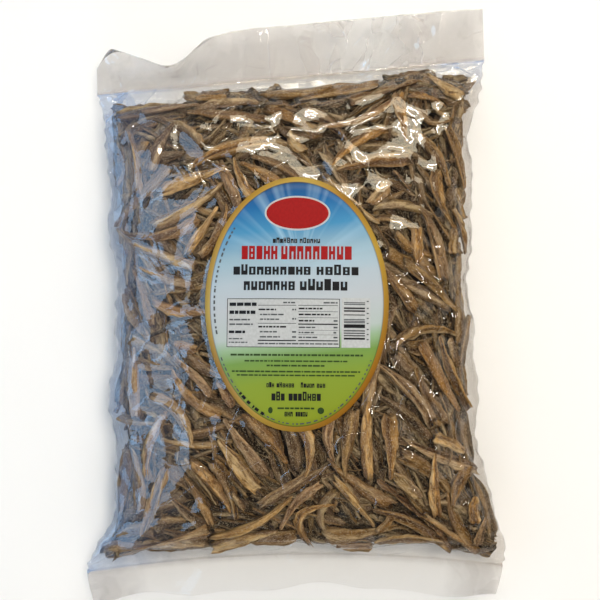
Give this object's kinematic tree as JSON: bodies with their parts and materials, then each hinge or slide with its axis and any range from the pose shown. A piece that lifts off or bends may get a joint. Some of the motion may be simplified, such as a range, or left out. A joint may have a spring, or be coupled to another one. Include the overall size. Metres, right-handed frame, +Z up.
{
  "type": "bag of dried anchovies",
  "caption": "Heat-sealed clear pillow bag packed full of small dried anchovies, with an oval sticker label, lying flat on its back with the label up",
  "frame": {"origin": "on the surface the bag lies on, under the centre of its plan box", "axes": "+Z up out of the label face, +Y along the bag towards its header, +X to the right of the label"},
  "size_m": [0.2702, 0.389, 0.0754],
  "materials": {
    "fish_in_film": "clear glossy film over tan-brown dried fish",
    "label_paper": "semi-gloss printed sticker"
  },
  "bodies": {
    "root": {"bag": "fish_in_film", "label": "label_paper"}
  },
  "joints": []
}
